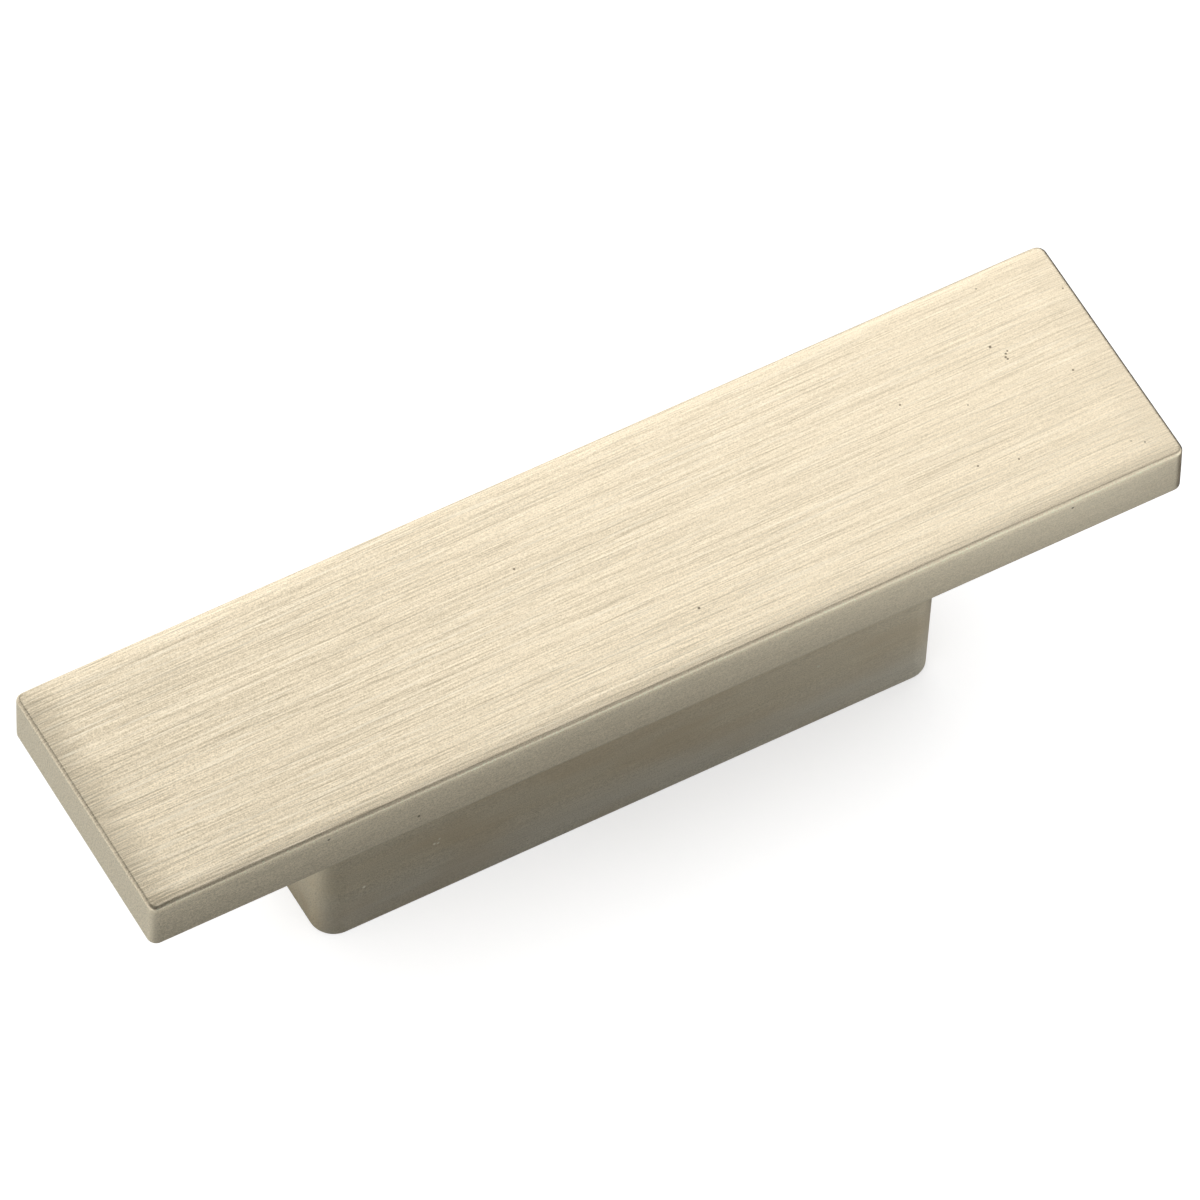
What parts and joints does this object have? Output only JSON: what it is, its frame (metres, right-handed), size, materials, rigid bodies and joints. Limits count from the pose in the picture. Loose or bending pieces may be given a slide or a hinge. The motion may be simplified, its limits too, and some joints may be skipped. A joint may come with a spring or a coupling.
{
  "type": "cabinet knob",
  "caption": "Bar-shaped cabinet knob cast in one piece: a flat rectangular plate on a narrower block foot with tapped screw holes, in brushed satin metal.",
  "frame": {"origin": "middle of the foot's flat mounting face, on the drawer front's surface", "axes": "+X along the plate, +Y across the plate, +Z out from the drawer front through the plate"},
  "size_m": [0.08, 0.02, 0.022],
  "materials": {
    "brushed_satin_nickel": "warm satin nickel plate over die-cast zinc, belt brushed along the plate, with a few casting pits"
  },
  "bodies": {
    "root": {"knob": "brushed_satin_nickel"}
  },
  "joints": []
}
